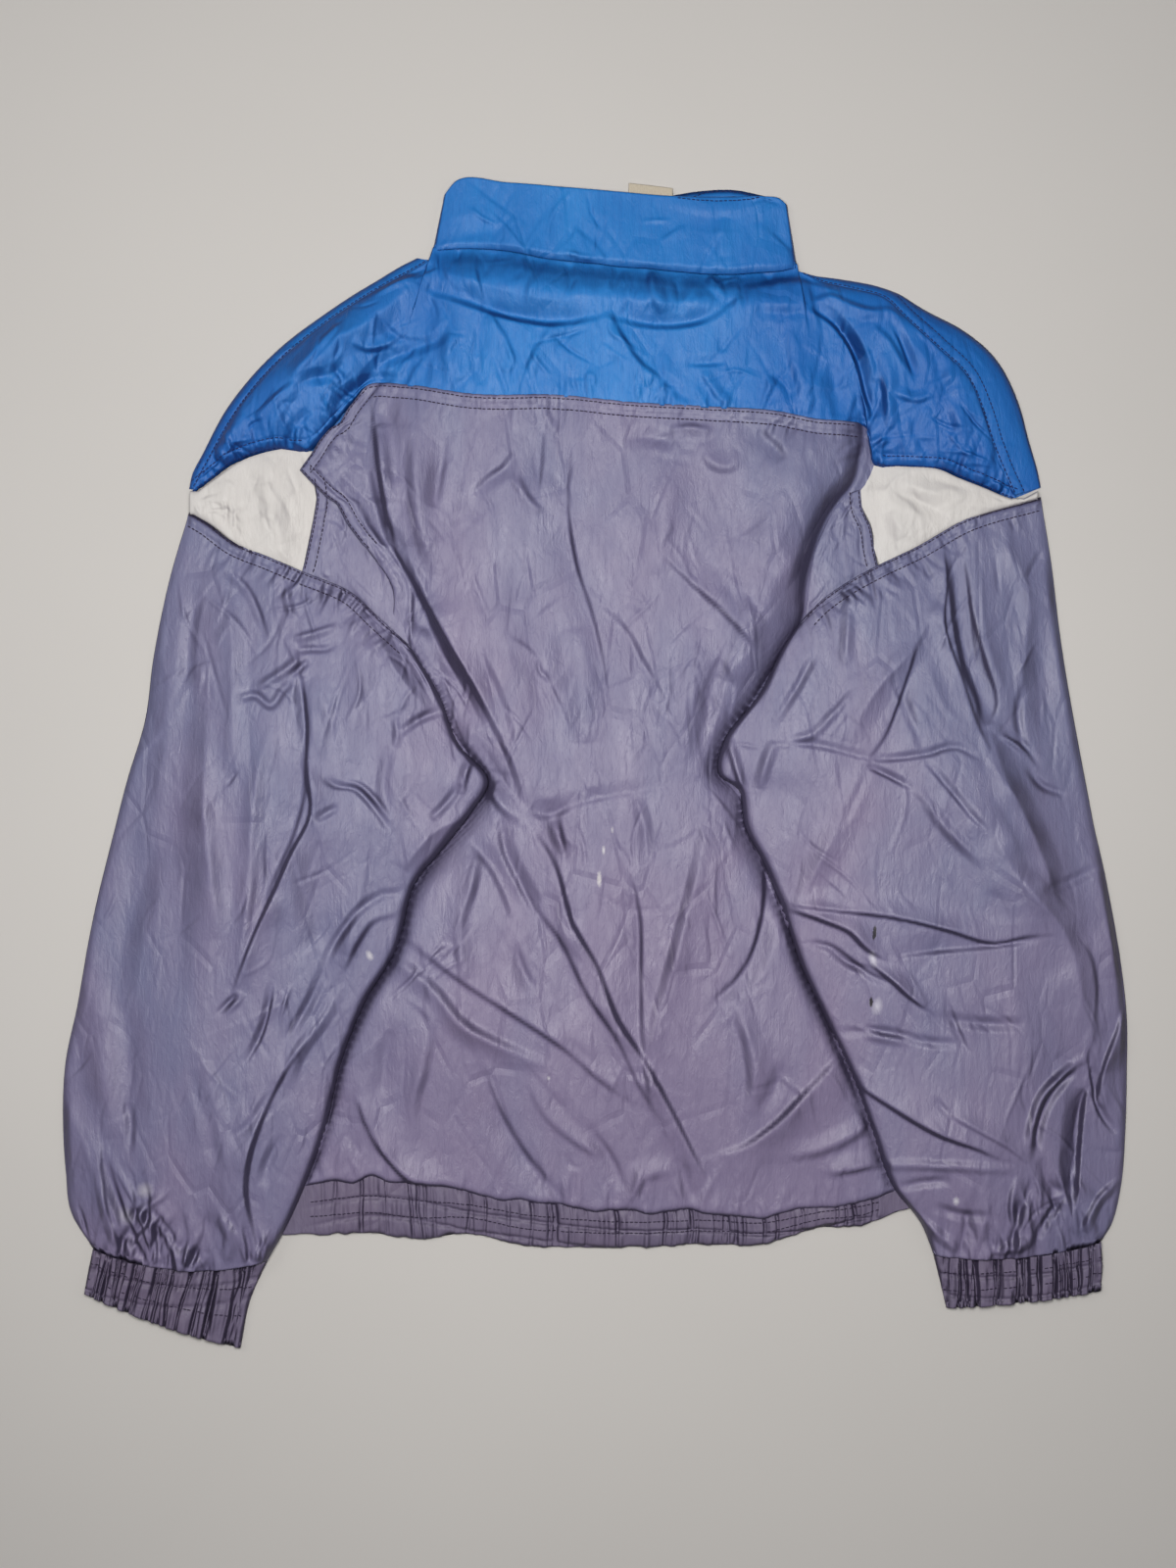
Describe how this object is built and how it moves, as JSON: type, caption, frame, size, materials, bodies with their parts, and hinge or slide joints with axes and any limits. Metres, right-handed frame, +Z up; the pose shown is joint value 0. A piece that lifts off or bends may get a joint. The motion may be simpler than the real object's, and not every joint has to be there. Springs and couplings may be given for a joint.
{
  "type": "track jacket",
  "caption": "Light nylon track jacket laid out flat with its back up: stand collar, contrast yoke and shoulder inserts, elastic cuffs and hem band.",
  "frame": {"origin": "middle of the laid-out jacket in plan, on the surface that it lies on", "axes": "+Z up from the surface, out of the jacket's back; +Y towards the collar; +X towards the wearer's right sleeve"},
  "size_m": [0.7422, 0.8145, 0.0301],
  "materials": {
    "blue_nylon": "thin crinkled woven nylon with a soft sheen",
    "lavender_nylon": "thin crinkled woven nylon, shot blue and rose, with a soft sheen",
    "white_nylon": "thin crinkled woven nylon with a soft sheen",
    "label_tape": "plain woven tape, bare",
    "zip_plastic": "woven tape with moulded coil",
    "zip_metal": "cast and lacquered"
  },
  "bodies": {
    "root": {"yoke_back": "blue_nylon", "front_yoke_left": "blue_nylon", "front_yoke_right": "blue_nylon", "collar": "blue_nylon", "back_panel": "lavender_nylon", "front_left": "lavender_nylon", "front_right": "lavender_nylon", "gusset_left": "lavender_nylon", "gusset_right": "lavender_nylon", "sleeve_left": "lavender_nylon", "sleeve_right": "lavender_nylon", "cuff_left": "lavender_nylon", "cuff_right": "lavender_nylon", "hem_band": "lavender_nylon", "white_left": "white_nylon", "white_right": "white_nylon", "neck_label": "label_tape", "zip": "zip_plastic", "zip_slider": "zip_metal"}
  },
  "joints": []
}
